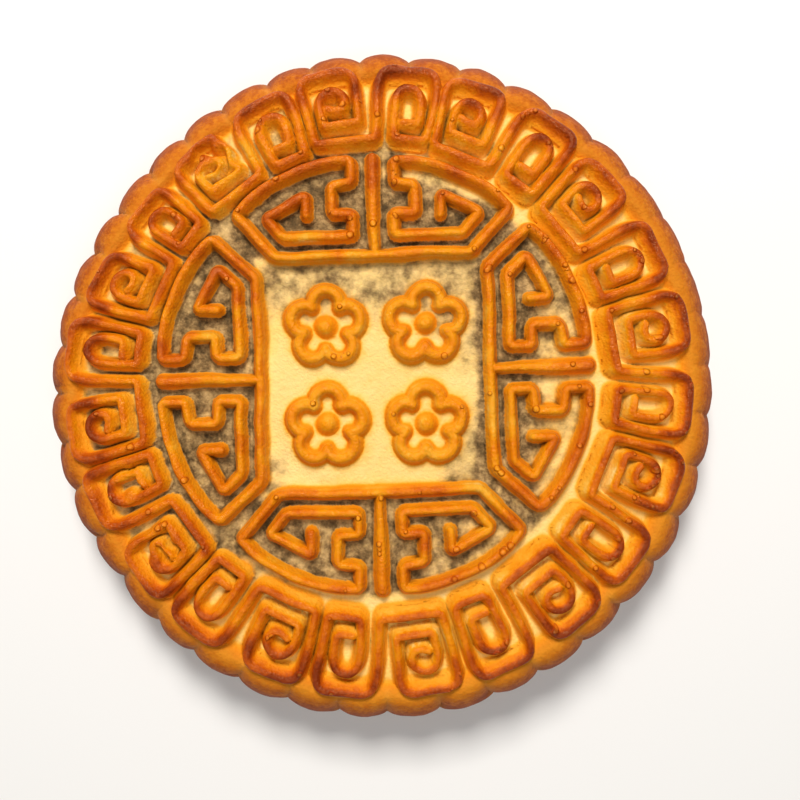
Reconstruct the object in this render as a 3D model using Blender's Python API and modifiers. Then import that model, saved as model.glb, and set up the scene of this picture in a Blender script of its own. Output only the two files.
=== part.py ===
"""A large round mooncake, one solid piece of baked dough.

The cake is fluted round its wall and moulded on top: a ring of twelve paired fret scrolls, four
fret panels with a stem each, and four five-petalled blossoms. Metres, +Z up; the origin is the
middle of the flat base.
"""

import math

import bmesh
import bpy

MM = 0.001
WELD = 0.00001
NODE = "mooncake"

# Cake body: heights from the base, radii from the origin
TOP = 31.0 * MM
RIM_RADIUS = 109.0 * MM
WALL_RADIUS = 120.0 * MM
WALL_HEIGHT = 11.0 * MM
BASE_RADIUS = 114.5 * MM
SHOULDER_TURNS = (0, 32, 62, 90)
TUCK_TURNS = (40, 75)

# Flutes of the wall
FLUTES = 40
STEPS_PER_FLUTE = 4
FIRST_CROWN = -2.0
FLUTE_DEPTH = 3.1 * MM
FLUTE_ROUNDNESS = 0.88
SMOOTH_SIDE = 20.0
SMOOTH_SIDE_WIDTH = 26.0
SMOOTH_SIDE_SHARE = 0.7

# The cake is a little out of round: flattened on one side, where it was pressed
FLAT_SIDE = 141.0
FLAT_SIDE_WIDTH = 15.0
FLAT_SIDE_DEPTH = 2.6 * MM
FLAT_RIM_DEPTH = 2.0 * MM

# Raised ridges: half width at the foot, and height over the field
RING_RIDGE = (2.0 * MM, 3.8 * MM)
PANEL_RIDGE = (2.7 * MM, 4.0 * MM)
STEM_RIDGE = (2.4 * MM, 3.6 * MM)
BLOSSOM_RIDGE = (2.4 * MM, 3.8 * MM)
ROOT = 2.2 * MM

# Right half of a ridge's round-topped section, as shares of its half width and height
ARCH = [(1.0, 0.0), (0.72, 0.68), (0.3, 1.0)]

# The mould landed a little off the cake's middle: centres of the ring and of the panels
RING_CENTRE = (-1.5 * MM, 3.3 * MM)
PANEL_CENTRE = (-1.9 * MM, 3.7 * MM)
PANEL_TURN = 1.5

# Ring of scrolls: crest radii from the ring's centre, and the outer crest's drift
PAIRS = 12
FIRST_LINK = 1.0
INNER_CREST = 82.6 * MM
OUTER_CREST = 107.0 * MM
OUTER_DRIFT = 3.1 * MM
DRIFT_SIDE = 290.0

# One pair of scrolls as a single line, from the squarish scroll's curl over the link between the
# two to the narrow scroll's eye: (degrees from the link, share of the way to the outer crest)
SCROLL_PAIR = [
    (9.3, 0.45), (7.2, 0.45), (6.8, 0.62), (9.6, 0.72), (12.3, 0.58),
    (12.3, 0.22), (4.4, 0.22), (3.8, 0.80), (6.4, 1.0), (12.8, 1.0), (15.2, 0.80),
    (15.1, -0.01), (0.3, -0.01), (-0.5, 0.80), (-3.2, 1.0), (-9.6, 1.0), (-12.2, 0.80),
    (-11.9, -0.01), (-4.2, -0.01), (-4.1, 0.56), (-6.8, 0.71), (-9.4, 0.55), (-9.2, 0.26),
]

# Half a fret panel as a single line, mirrored for the other half: millimetres across and outward
# from the panels' centre. The arc between the two lists keeps one radius.
PANEL_INNER = [(0.0, 40.5), (35.5, 40.5), (49.3, 54.8)]
PANEL_ARC_POINTS = 4
PANEL_FRET = [
    (7.2, 73.9), (7.2, 66.3), (15.2, 65.0), (15.2, 55.2), (7.2, 54.4), (7.2, 46.8),
    (32.0, 46.6), (38.2, 53.7), (25.0, 60.8), (24.2, 54.6),
]
PANEL_STEM = [(0.0, 41.3), (0.0, 74.0)]

# Blossoms: places from the panels' centre, and the outline of five petals round a button
BLOSSOM_ACROSS = 17.3 * MM
BLOSSOM_OUTWARD = 17.0 * MM
PETALS = 5
PETAL_NOTCH = 8.6 * MM
PETAL_TIP = 12.4 * MM
PETAL_FULLNESS = 0.8
POINTS_PER_PETAL = 5
BUTTON_RADIUS = 3.3 * MM
BUTTON_HEIGHT = 3.4 * MM
BUTTON_ROOT = 0.6 * MM
BUTTON_SIDES = 12
BUTTON_LEVELS = 10

# Faces meeting at less than this angle are shaded as one surface
SMOOTH_ANGLE = math.radians(40)


def clear_scene():
    for obj in list(bpy.data.objects):
        bpy.data.objects.remove(obj, do_unlink=True)


def new_collection(name):
    collection = bpy.data.collections.new(name)
    bpy.context.scene.collection.children.link(collection)
    return collection


def baked_dough():
    material = bpy.data.materials.new("baked_dough")
    material.use_nodes = True
    shader = material.node_tree.nodes["Principled BSDF"]
    shader.inputs["Base Color"].default_value = (0.78, 0.27, 0.03, 1.0)
    shader.inputs["Roughness"].default_value = 0.45
    shader.inputs["Metallic"].default_value = 0.0
    return material


def bump(degrees, middle, width):
    """A smooth bump of height 1 round the cake, at the middle angle."""
    away = (degrees - middle + 180.0) % 360.0 - 180.0
    return math.exp(-((away / width) ** 2))


def body_profile():
    """The cake's half section as (radius, height), from the top's middle down to the base's."""
    points = [(0.0, TOP)]
    for turn in SHOULDER_TURNS:
        angle = math.radians(turn)
        radius = RIM_RADIUS + (WALL_RADIUS - RIM_RADIUS) * math.sin(angle)
        points.append((radius, WALL_HEIGHT + (TOP - WALL_HEIGHT) * math.cos(angle)))
    for turn in TUCK_TURNS:
        angle = math.radians(turn)
        radius = BASE_RADIUS + (WALL_RADIUS - BASE_RADIUS) * math.cos(angle)
        points.append((radius, WALL_HEIGHT * (1 - math.sin(angle))))
    points += [(BASE_RADIUS, 0.0), (0.0, 0.0)]
    return points


def flute_valley(degrees):
    """How deep the wall lies here, from 0 on a flute's crown to its most in the groove beside it."""
    across = 2 * (((degrees - FIRST_CROWN) * FLUTES / 360.0 + 0.5) % 1.0) - 1
    return 1 - math.sqrt(1 - FLUTE_ROUNDNESS * across**2)


def press_wall(x, y, z):
    """A point of the turned body, moved to the fluted and slightly flattened wall."""
    radius = math.hypot(x, y)
    if radius < RIM_RADIUS - MM:
        return x, y
    degrees = math.degrees(math.atan2(y, x))
    low = min((TOP - z) / (TOP - WALL_HEIGHT), 1.0)
    depth = FLUTE_DEPTH * (1 - SMOOTH_SIDE_SHARE * bump(degrees, SMOOTH_SIDE, SMOOTH_SIDE_WIDTH))
    pressed = radius - depth * low * flute_valley(degrees)
    pressed -= FLAT_SIDE_DEPTH * bump(degrees, FLAT_SIDE, FLAT_SIDE_WIDTH)
    return x * pressed / radius, y * pressed / radius


def evaluated_copy(source, name, collection):
    """A mesh object of what the source shows, with the source removed."""
    graph = bpy.context.evaluated_depsgraph_get()
    mesh = bpy.data.meshes.new_from_object(source.evaluated_get(graph))
    copy = bpy.data.objects.new(name, mesh)
    copy.matrix_world = source.matrix_world
    collection.objects.link(copy)
    bpy.data.objects.remove(source, do_unlink=True)
    return copy


def make_body(collection):
    """The fluted cake: a turned profile whose wall is then pressed into flutes."""
    mesh = bpy.data.meshes.new("body_profile")
    points = body_profile()
    edges = [(i, i + 1) for i in range(len(points) - 1)]
    mesh.from_pydata([(radius, 0.0, height) for radius, height in points], edges, [])
    turned = bpy.data.objects.new("body_turned", mesh)
    collection.objects.link(turned)
    screw = turned.modifiers.new("turn", "SCREW")
    screw.steps = FLUTES * STEPS_PER_FLUTE
    screw.render_steps = screw.steps
    screw.use_merge_vertices = True
    screw.merge_threshold = WELD
    body = evaluated_copy(turned, NODE, collection)
    work = bmesh.new()
    work.from_mesh(body.data)
    for vertex in work.verts:
        vertex.co.x, vertex.co.y = press_wall(*vertex.co)
    bmesh.ops.dissolve_verts(work, verts=[v for v in work.verts if math.hypot(v.co.x, v.co.y) < MM])
    bmesh.ops.recalc_face_normals(work, faces=work.faces)
    work.to_mesh(body.data)
    work.free()
    return body


def mitre(before, here, after):
    """Where a ridge's side lies at a corner, as a step sideways for each unit of half width."""
    into = math.atan2(here[1] - before[1], here[0] - before[0])
    out = math.atan2(after[1] - here[1], after[0] - here[0])
    half_turn = ((out - into + math.pi) % (2 * math.pi) - math.pi) / 2
    sideways = into + half_turn - math.pi / 2
    stretch = 1 / math.cos(half_turn)
    return math.cos(sideways) * stretch, math.sin(sideways) * stretch


def ridge_arch(half_width, height):
    """A ridge's own section as (across, up), round-topped and rooted under the cake's top."""
    right = [(half_width, -ROOT)] + [(half_width * across, height * up) for across, up in ARCH]
    return right + [(-across, up) for across, up in right[::-1]]


def make_ridge(name, points, size, collection, cyclic=False):
    """A ridge with mitred corners along a line of (x, y) points on the cake's top."""
    work = bmesh.new()
    arch = ridge_arch(*size)
    rows = []
    for i, here in enumerate(points):
        before = points[i - 1] if cyclic or i > 0 else None
        after = points[(i + 1) % len(points)] if cyclic or i < len(points) - 1 else None
        before = before or (2 * here[0] - after[0], 2 * here[1] - after[1])
        after = after or (2 * here[0] - before[0], 2 * here[1] - before[1])
        step = mitre(before, here, after)
        row = [(here[0] + across * step[0], here[1] + across * step[1], TOP + up) for across, up in arch]
        rows.append([work.verts.new(corner) for corner in row])
    spans = list(zip(rows, rows[1:] + rows[:1])) if cyclic else list(zip(rows, rows[1:]))
    for row, following in spans:
        for k in range(len(arch)):
            work.faces.new((row[k], row[k - 1], following[k - 1], following[k]))
    if not cyclic:
        work.faces.new(rows[0])
        work.faces.new(rows[-1][::-1])
    return solid_from(work, name, collection)


def solid_from(work, name, collection):
    """A cutter object holding the given closed shape, with its faces turned outward."""
    bmesh.ops.recalc_face_normals(work, faces=work.faces)
    mesh = bpy.data.meshes.new(name)
    work.to_mesh(mesh)
    work.free()
    solid = bpy.data.objects.new(name, mesh)
    collection.objects.link(solid)
    return as_cutter(solid)


def as_cutter(obj):
    obj.hide_render = True
    obj.display_type = "WIRE"
    return obj


def ring_point(degrees, share):
    """A point of the scroll ring, from its inner crest (share 0) to its outer crest (share 1)."""
    angle = math.radians(degrees)
    outer = OUTER_CREST + OUTER_DRIFT * math.cos(math.radians(degrees - DRIFT_SIDE))
    outer -= FLAT_RIM_DEPTH * bump(degrees, FLAT_SIDE, FLAT_SIDE_WIDTH)
    radius = INNER_CREST + share * (outer - INNER_CREST)
    return RING_CENTRE[0] + radius * math.cos(angle), RING_CENTRE[1] + radius * math.sin(angle)


def panel_point(x, y, quarter):
    """A point of the panels' own frame, turned to the given quarter of the cake's top."""
    angle = math.radians(PANEL_TURN + 90.0 * quarter)
    return (
        PANEL_CENTRE[0] + x * math.cos(angle) - y * math.sin(angle),
        PANEL_CENTRE[1] + x * math.sin(angle) + y * math.cos(angle),
    )


def panel_line():
    """The whole outline of one panel in its own frame, one half after the other."""
    tip, end = PANEL_INNER[-1], PANEL_FRET[0]
    start_angle, end_angle = math.atan2(tip[1], tip[0]), math.atan2(end[1], end[0])
    half = [(x * MM, y * MM) for x, y in PANEL_INNER]
    for i in range(1, PANEL_ARC_POINTS + 1):
        share = i / (PANEL_ARC_POINTS + 1)
        radius = math.hypot(*tip) + share * (math.hypot(*end) - math.hypot(*tip))
        angle = start_angle + share * (end_angle - start_angle)
        half.append((radius * math.cos(angle) * MM, radius * math.sin(angle) * MM))
    half += [(x * MM, y * MM) for x, y in PANEL_FRET]
    other = [(-x, y) for x, y in half[1:]]
    return other[::-1] + half[1:]


def make_ring(collection):
    ridges = []
    for pair in range(PAIRS):
        link = FIRST_LINK + pair * 360.0 / PAIRS
        points = [ring_point(link + degrees, share) for degrees, share in SCROLL_PAIR]
        ridges.append(make_ridge(f"scrolls_{pair}", points, RING_RIDGE, collection))
    return ridges


def make_panels(collection):
    ridges = []
    for quarter in range(4):
        points = [panel_point(x, y, quarter) for x, y in panel_line()]
        ridges.append(make_ridge(f"panel_{quarter}", points, PANEL_RIDGE, collection))
        stem = [panel_point(x * MM, y * MM, quarter) for x, y in PANEL_STEM]
        ridges.append(make_ridge(f"stem_{quarter}", stem, STEM_RIDGE, collection))
    return ridges


def petal_line(centre):
    """Five round petals about a centre, as one closed line with a notch between petals."""
    count = PETALS * POINTS_PER_PETAL
    points = []
    for i in range(count):
        swell = math.sin(math.pi * (i % POINTS_PER_PETAL) / POINTS_PER_PETAL) ** PETAL_FULLNESS
        radius = PETAL_NOTCH + (PETAL_TIP - PETAL_NOTCH) * swell
        angle = 2 * math.pi * i / count + math.pi / 2 - math.pi / PETALS
        points.append((centre[0] + radius * math.cos(angle), centre[1] + radius * math.sin(angle)))
    return points


def make_blossoms(collection):
    pieces = []
    for quarter in range(4):
        centre = panel_point(BLOSSOM_ACROSS, BLOSSOM_OUTWARD, quarter)
        line = petal_line(centre)
        pieces.append(make_ridge(f"blossom_{quarter}", line, BLOSSOM_RIDGE, collection, cyclic=True))
        pieces.append(make_button(f"button_{quarter}", centre, collection))
    return pieces


def make_button(name, centre, collection):
    """A low domed button in the middle of a blossom."""
    work = bmesh.new()
    bmesh.ops.create_uvsphere(work, u_segments=BUTTON_SIDES, v_segments=BUTTON_LEVELS, radius=1.0)
    bmesh.ops.scale(work, verts=work.verts, vec=(BUTTON_RADIUS, BUTTON_RADIUS, BUTTON_HEIGHT + BUTTON_ROOT))
    bmesh.ops.translate(work, verts=work.verts, vec=(centre[0], centre[1], TOP - BUTTON_ROOT))
    return solid_from(work, name, collection)


def join_ridges(body, ridges):
    """Every ridge joined on to the body, each by a union."""
    for ridge in ridges:
        join = body.modifiers.new(f"join_{ridge.name}", "BOOLEAN")
        join.operation = "UNION"
        join.solver = "EXACT"
        join.object = ridge


def main():
    clear_scene()
    cake = new_collection(NODE)
    guides = new_collection("ridges")
    body = make_body(cake)
    ridges = make_ring(guides) + make_panels(guides) + make_blossoms(guides)
    join_ridges(body, ridges)
    body.data.materials.clear()
    body.data.materials.append(baked_dough())
    body.data.set_sharp_from_angle(angle=SMOOTH_ANGLE)


main()
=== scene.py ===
"""The looks of a large round mooncake: fluted wall, moulded scroll ring, fret panels and blossoms.

The cake's surface is worked out on a flat plan, in millimetres: the top as seen from above, and the
wall unrolled outward round it. Relief and browning are functions of the place on that plan.
"""

import math

import bpy
import numpy as np
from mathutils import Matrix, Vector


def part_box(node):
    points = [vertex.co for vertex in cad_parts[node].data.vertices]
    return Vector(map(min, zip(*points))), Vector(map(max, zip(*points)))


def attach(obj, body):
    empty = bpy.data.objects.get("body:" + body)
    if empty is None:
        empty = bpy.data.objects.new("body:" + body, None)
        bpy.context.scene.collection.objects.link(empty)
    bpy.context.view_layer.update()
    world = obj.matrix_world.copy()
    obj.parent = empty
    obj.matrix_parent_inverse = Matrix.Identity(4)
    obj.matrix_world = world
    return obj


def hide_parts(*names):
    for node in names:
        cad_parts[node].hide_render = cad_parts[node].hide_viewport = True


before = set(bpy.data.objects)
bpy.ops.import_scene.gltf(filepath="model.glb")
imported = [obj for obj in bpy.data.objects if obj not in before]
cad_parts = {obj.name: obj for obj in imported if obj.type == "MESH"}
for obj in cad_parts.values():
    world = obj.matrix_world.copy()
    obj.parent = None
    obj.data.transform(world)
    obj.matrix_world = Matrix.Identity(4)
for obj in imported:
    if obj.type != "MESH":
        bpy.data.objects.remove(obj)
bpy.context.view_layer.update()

MM = 0.001
NODE = "mooncake"

# ---------------------------------------------------------------- sizes, in millimetres and degrees
# The body: the relief's height, the plain top under it, the wall, the top's sag towards the rim,
# and how many points make the section of the shoulder and of the foot
LOW, HIGH = [[value / MM for value in corner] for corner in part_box(NODE)]
RELIEF = 4.0
TOP = HIGH[2] - RELIEF
WALL_RADIUS = (HIGH[0] - LOW[0]) / 2 - 0.4
RIM_RADIUS = WALL_RADIUS - 12.0
BASE_RADIUS = WALL_RADIUS - 5.5
WALL_HEIGHT = 11.0
SAG_START = 75.0
SAG = 1.6
SHOULDER_POINTS = 61
FOOT_POINTS = 31

# Spacing of the surface's points before it is thinned, the triangles kept, how far in from the
# wall's foot the base's rings of points lie, and the step that feels the surface's slope
SPACING = 0.36
WALL_SPACING = 0.7
FINEST_RING = 1536
COARSEST_RING = 12
TRIANGLES = 196000
BASE_STEPS = (1.5, 4.5, 10.0, 22.0, 44.0, 74.0, 99.0)
NORMAL_STEP = 0.2

# Shares of the flat map: the top's disc, the base's quarters, and the margin round them
TOP_MAP = 0.497
BASE_MAP = 0.195
MAP_MARGIN = 0.002

# Wall: its lobes, how far the shoulder drops between them, the side where they run together, and
# how far the cake is out of round
LOBES = 40
FIRST_LOBE = -2.0
LOBE_DRIFT = 1.9
LOBE_DRIFT_SIDE = 50.0
LOBE_DEPTH = 3.0
LOBE_ROUNDNESS = 0.9
GROOVE_DROP = 3.2
SMOOTH_SIDE = (20.0, 28.0)
SMOOTH_SHARE = 0.75
OUT_OF_ROUND = [
    # side, width, millimetres outward
    (139.0, 17.0, -2.8), (157.0, 10.0, -1.1), (118.0, 9.0, -0.8), (104.0, 8.0, 0.4),
    (80.0, 20.0, 0.7), (28.0, 30.0, -0.3), (186.0, 14.0, 0.7), (216.0, 11.0, -0.9),
    (272.0, 42.0, 0.5), (318.0, 10.0, -0.8),
]

# Ridges: half width and height
RING_RIDGE = (2.25, 4.0)
PANEL_RIDGE = (2.2, 4.2)
STEM_RIDGE = (2.6, 3.9)
BLOSSOM_RIDGE = (2.5, 4.0)
BUTTON = (3.6, 3.6)

# Section of a ridge: how round its top is, where its side falls away, and how steeply
RIDGE_ROUNDNESS = 0.7
RIDGE_EDGE = 0.93
RIDGE_STEEPNESS = 5.0

# Soft skirt along the ring's arcs: how far towards the middle it lies, its reach and its height,
# and the side of the cake that has most of it
SKIRT = (1.7, 1.9, 2.4)
SKIRT_SIDE = (345.0, 100.0)

# How far crests and feet lean outward near the rim, the rim's rise, and the floor's drop
CREST_LEAN = 1.5
FOOT_LEAN = 0.4
RIM_RISE = 2.0
FLOOR_DROP = 0.8

# How far the dough crept before it baked, in long and short waves: distance and length of a wave
LONG_CREEP = (0.42, 15.0)
SHORT_CREEP = (0.22, 6.0)

# A distance beyond any that matters
FAR = 99.0

# Scroll ring: where it lies, its crest radii, and its drift towards the outside on one side
RING_CENTRE = (-1.5, 3.3)
PAIRS = 12
FIRST_LINK = 1.0
INNER_CREST = 81.8
INNER_DRIFT = 1.6
OUTER_CREST = 106.6
OUTER_DRIFT = 3.1
DRIFT_SIDE = 303.0
FLAT_SIDE = (142.0, 14.0)
FLAT_DEPTH = 2.0

# One pair of scrolls: degrees from the link between the two, and share of the way from the inner
# crest to the outer one. The line runs from the squarish scroll's curl to the narrow scroll's eye.
SCROLL_PAIR = [
    (10.0, 0.46), (8.4, 0.42), (6.9, 0.44), (6.2, 0.53), (6.5, 0.64), (7.7, 0.71), (9.3, 0.725),
    (10.8, 0.68), (11.6, 0.57), (11.75, 0.42), (11.6, 0.225), (3.5, 0.225), (3.55, 0.50),
    (3.7, 0.80), (4.3, 0.94), (5.8, 0.99), (12.3, 0.99), (14.0, 0.94), (14.7, 0.82), (14.8, 0.50),
    (14.6, 0.0), (-0.1, 0.0), (-0.35, 0.30), (-0.6, 0.60), (-0.9, 0.80), (-1.7, 0.94), (-3.2, 0.99),
    (-10.3, 0.99), (-11.7, 0.94), (-12.3, 0.80), (-12.4, 0.50), (-12.1, 0.0), (-4.3, 0.0),
    (-4.25, 0.30), (-4.4, 0.55), (-5.0, 0.66), (-6.1, 0.72), (-7.7, 0.72), (-9.0, 0.67),
    (-9.6, 0.56), (-9.75, 0.40), (-9.6, 0.22), (-6.0, 0.22),
]

# How each pair came out of the mould: millimetres outward, and degrees round the ring
PAIR_SHIFTS = [
    (-0.6, 0.2), (-1.2, 0.5), (0.2, 0.7), (1.2, -0.4), (-0.7, -0.8), (-0.6, 0.1),
    (1.0, 0.5), (0.4, 0.0), (0.0, -0.2), (0.2, -0.4), (-0.1, -0.3), (-0.1, -0.1),
]

# Half a fret panel, mirrored for the other half: across and outward from the panels' centre
PANEL_CENTRE = (-1.9, 3.7)
PANEL_TURN = 1.5
PANEL_HALF = [
    (34.7, 40.1), (48.4, 55.0), (44.2, 59.6), (40.0, 62.9), (35.0, 66.0),
    (30.0, 68.3), (25.0, 70.2), (20.0, 71.8), (14.0, 73.0), (7.6, 73.3), (7.5, 65.6), (14.9, 64.4),
    (14.9, 54.7), (7.4, 54.6), (7.4, 46.9), (32.0, 46.9), (38.1, 53.7), (24.0, 61.2), (23.8, 54.1),
]
PANEL_STEM = [(0.0, 41.0), (0.0, 73.7)]
STEM_TAPER = (1.0, 0.72)

# How each panel and stem came out: across, outward, degrees turned, size
PANEL_PLACES = [
    (0.3, 0.75, 0.0, 0.97), (-0.45, 0.0, 0.0, 1.0), (0.0, 0.0, 0.15, 1.0), (-0.75, -0.75, 0.6, 1.0),
]
PANEL_MIDDLE = 60.0

# Blossoms: places from the panels' centre, five petals each
BLOSSOM_ACROSS = 17.3
BLOSSOM_OUTWARD = 17.0
PETALS = 5
PETAL_NOTCH = 8.0
PETAL_TIP = 12.6
PETAL_POINTS = 12
PETAL_FULLNESS = 0.7

# Scrolls that tore and smeared as the mould came off: side, radius, reach
TORN = [(127.0, 93.0, 9.0), (218.0, 95.0, 7.5), (203.0, 92.0, 5.0)]
TORN_SHIFT = 2.3
TORN_SIZE = 4.5

# Baked bubbles on the crests: how many are tried, their radius and height, how widely they are
# scattered off the ridges' middles, the side with most, the share of tries that hold elsewhere,
# and how far out from its middle a bubble is worked out
BLISTER_SEED = 7
BLISTERS = 260
BLISTER_RADIUS = (0.6, 1.35)
BLISTER_HEIGHT = 0.2
BLISTER_SPREAD = 1.6
BLISTER_SIDE = (340.0, 85.0)
BLISTER_CHANCE = 0.25
BLISTER_REACH = 3.5


# ---------------------------------------------------------------- small mathematics
def smooth(low, high, value):
    """0 below low, 1 above high, and a smooth way between."""
    share = np.clip((value - low) / (high - low), 0.0, 1.0)
    return share * share * (3.0 - 2.0 * share)


def bump(degrees, side, width):
    """A smooth bump of height 1 round the cake, at one side of it."""
    away = (degrees - side + 180.0) % 360.0 - 180.0
    return np.exp(-((away / width) ** 2))


def bumps(degrees, parts):
    """Several bumps added up, each given as its side, width and size."""
    return sum(size * bump(degrees, side, width) for side, width, size in parts)


def lattice_value(i, j, seed):
    """A fixed number from -1 to 1 for each lattice point."""
    n = (i * 374761393 + j * 668265263 + seed * 1442695041) & 0xFFFFFFFF
    n = ((n ^ (n >> 13)) * 1274126177) & 0xFFFFFFFF
    return ((n ^ (n >> 16)) & 0xFFFF) / 32767.5 - 1.0


def noise(x, y, size, seed):
    """Smooth noise from -1 to 1 over the plan, with hills about the given size."""
    u, v = x / size, y / size
    i, j = np.floor(u).astype(np.int64), np.floor(v).astype(np.int64)
    a, b = u - i, v - j
    a, b = a * a * (3 - 2 * a), b * b * (3 - 2 * b)
    near = lattice_value(i, j, seed) * (1 - a) + lattice_value(i + 1, j, seed) * a
    far = lattice_value(i, j + 1, seed) * (1 - a) + lattice_value(i + 1, j + 1, seed) * a
    return near * (1 - b) + far * b


def round_corners(line, share=0.2, most=0.9):
    """The line with each corner cut twice over a short way, so that a ridge bends softly."""
    for limit in (most, most / 3):
        points = [line[0]]
        for before, here, after in zip(line, line[1:], line[2:]):
            for other in (before, after):
                length = math.dist(here, other)
                step = min(share * length, limit) / length
                points.append((here[0] + (other[0] - here[0]) * step, here[1] + (other[1] - here[1]) * step))
        line = points + [line[-1]]
    return line


def distance_to(line, x, y, reach=9.0):
    """How far each plan point is from a line, or just far where it isn't near."""
    spots = np.array(line)
    low, high = spots.min(axis=0) - reach, spots.max(axis=0) + reach
    near = np.flatnonzero((x > low[0]) & (x < high[0]) & (y > low[1]) & (y < high[1]))
    nx, ny = x[near], y[near]
    best = np.full(nx.shape, 4 * reach)
    for (ax, ay), (bx, by) in zip(spots, spots[1:]):
        dx, dy = bx - ax, by - ay
        along = np.clip(((nx - ax) * dx + (ny - ay) * dy) / (dx * dx + dy * dy), 0.0, 1.0)
        best = np.minimum(best, np.hypot(nx - ax - along * dx, ny - ay - along * dy))
    distance = np.full(x.shape, 4 * reach)
    distance[near] = best
    return distance


def nearest(lines, x, y):
    """How far each plan point is from the nearest of several lines."""
    distance = distance_to(lines[0], x, y)
    for line in lines[1:]:
        distance = np.minimum(distance, distance_to(line, x, y))
    return distance


# ---------------------------------------------------------------- the mould's lines
def inner_crest(degrees):
    """Radius of the ring's inner crest from the ring's centre."""
    return INNER_CREST + INNER_DRIFT * np.cos(np.radians(degrees - DRIFT_SIDE))


def outer_crest(degrees):
    """Radius of the ring's outer crest from the ring's centre."""
    drift = OUTER_DRIFT * np.cos(np.radians(degrees - DRIFT_SIDE))
    return OUTER_CREST + drift - FLAT_DEPTH * bump(degrees, *FLAT_SIDE)


def ring_point(degrees, share, outward=0.0):
    inner, outer = inner_crest(degrees), outer_crest(degrees)
    radius = inner + share * (outer - inner) + outward
    angle = math.radians(degrees)
    return RING_CENTRE[0] + radius * math.cos(angle), RING_CENTRE[1] + radius * math.sin(angle)


def ring_lines():
    """The twelve pairs of scrolls, each a little out of its place."""
    lines = []
    for pair, (outward, turned) in enumerate(PAIR_SHIFTS):
        link = FIRST_LINK + pair * 360.0 / PAIRS + turned
        points = [ring_point(link + degrees, share, outward) for degrees, share in SCROLL_PAIR]
        lines.append(round_corners(points))
    return lines


def panel_point(x, y, quarter, place=(0.0, 0.0, 0.0, 1.0)):
    """A place in the panels' frame, on one of the four sides, as a plan point."""
    across, outward, turned, size = place
    angle = math.radians(PANEL_TURN + 90.0 * quarter + turned)
    x = x * size + across
    y = (y - PANEL_MIDDLE) * size + PANEL_MIDDLE + outward
    return (
        PANEL_CENTRE[0] + x * math.cos(angle) - y * math.sin(angle),
        PANEL_CENTRE[1] + x * math.sin(angle) + y * math.cos(angle),
    )


def panel_lines():
    outline = [(-x, y) for x, y in reversed(PANEL_HALF)] + PANEL_HALF
    lines = []
    for quarter, place in enumerate(PANEL_PLACES):
        points = [panel_point(x, y, quarter, place) for x, y in outline]
        lines.append(round_corners(points))
    return lines


def stem_lines():
    return [
        [panel_point(x, y, quarter, place) for x, y in PANEL_STEM]
        for quarter, place in enumerate(PANEL_PLACES)
    ]


def blossom_centres():
    return [panel_point(BLOSSOM_ACROSS, BLOSSOM_OUTWARD, quarter) for quarter in range(4)]


def petal_lines():
    """The outlines of the blossoms' petals, each closed by meeting its own start."""
    lines = []
    for x, y in blossom_centres():
        line = []
        for i in range(PETALS * PETAL_POINTS + 1):
            swell = math.sin(math.pi * (i % PETAL_POINTS) / PETAL_POINTS) ** PETAL_FULLNESS
            radius = PETAL_NOTCH + (PETAL_TIP - PETAL_NOTCH) * swell
            angle = 2 * math.pi * i / (PETALS * PETAL_POINTS) + math.pi / 2 - math.pi / PETALS
            line.append((x + radius * math.cos(angle), y + radius * math.sin(angle)))
        lines.append(line)
    return lines


RING_LINES = ring_lines()
PANEL_LINES = panel_lines()
STEM_LINES = stem_lines()
PETAL_LINES = petal_lines()


# ---------------------------------------------------------------- blisters
def blister_places():
    """Plan places and radii of the baked bubbles, scattered along the ridges."""
    luck = np.random.default_rng(BLISTER_SEED)
    lines = RING_LINES + PANEL_LINES + STEM_LINES + PETAL_LINES
    lengths = np.array([sum(math.dist(a, b) for a, b in zip(line, line[1:])) for line in lines])
    places = []
    for choice in luck.choice(len(lines), BLISTERS, p=lengths / lengths.sum()):
        line = lines[choice]
        start = luck.integers(len(line) - 1)
        share, aside, size, chance = luck.random(4)
        a, b = line[start], line[start + 1]
        x = a[0] + share * (b[0] - a[0]) + BLISTER_SPREAD * (aside - 0.5)
        y = a[1] + share * (b[1] - a[1]) + BLISTER_SPREAD * (aside - 0.5)
        side = math.degrees(math.atan2(y, x))
        if chance < BLISTER_CHANCE + (1.0 - BLISTER_CHANCE) * bump(side, *BLISTER_SIDE):
            places.append((x, y, BLISTER_RADIUS[0] + size * (BLISTER_RADIUS[1] - BLISTER_RADIUS[0])))
    return places


BLISTER_PLACES = blister_places()


def blister_offset(x, y):
    """From the nearest blister's middle to each plan point, in blister radii; far ones just far."""
    offset = np.full((len(x), 3), 9.0)
    for cx, cy, radius in BLISTER_PLACES:
        near = np.flatnonzero(np.hypot(x - cx, y - cy) < BLISTER_REACH)
        mine = np.stack([(x[near] - cx) / radius, (y[near] - cy) / radius, np.zeros(len(near))], axis=1)
        closer = np.hypot(mine[:, 0], mine[:, 1]) < np.hypot(offset[near, 0], offset[near, 1])
        offset[near[closer]] = mine[closer]
    return offset


# ---------------------------------------------------------------- relief over the plan
def torn_share(x, y):
    """1 in the middle of a torn scroll, 0 away from them."""
    share = np.zeros(x.shape)
    for degrees, radius, reach in TORN:
        cx = RING_CENTRE[0] + radius * math.cos(math.radians(degrees))
        cy = RING_CENTRE[1] + radius * math.sin(math.radians(degrees))
        share = np.maximum(share, np.exp(-(((x - cx) ** 2 + (y - cy) ** 2) / reach**2) ** 2))
    return share


def creep(start, x, y, torn, seed):
    """One coordinate of the plan points after the dough crept and the torn scrolls smeared."""
    crept = start + LONG_CREEP[0] * noise(x, y, LONG_CREEP[1], seed)
    crept = crept + SHORT_CREEP[0] * noise(x, y, SHORT_CREEP[1], seed + 1)
    return crept + torn * noise(x, y, TORN_SIZE, seed + 2)


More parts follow.
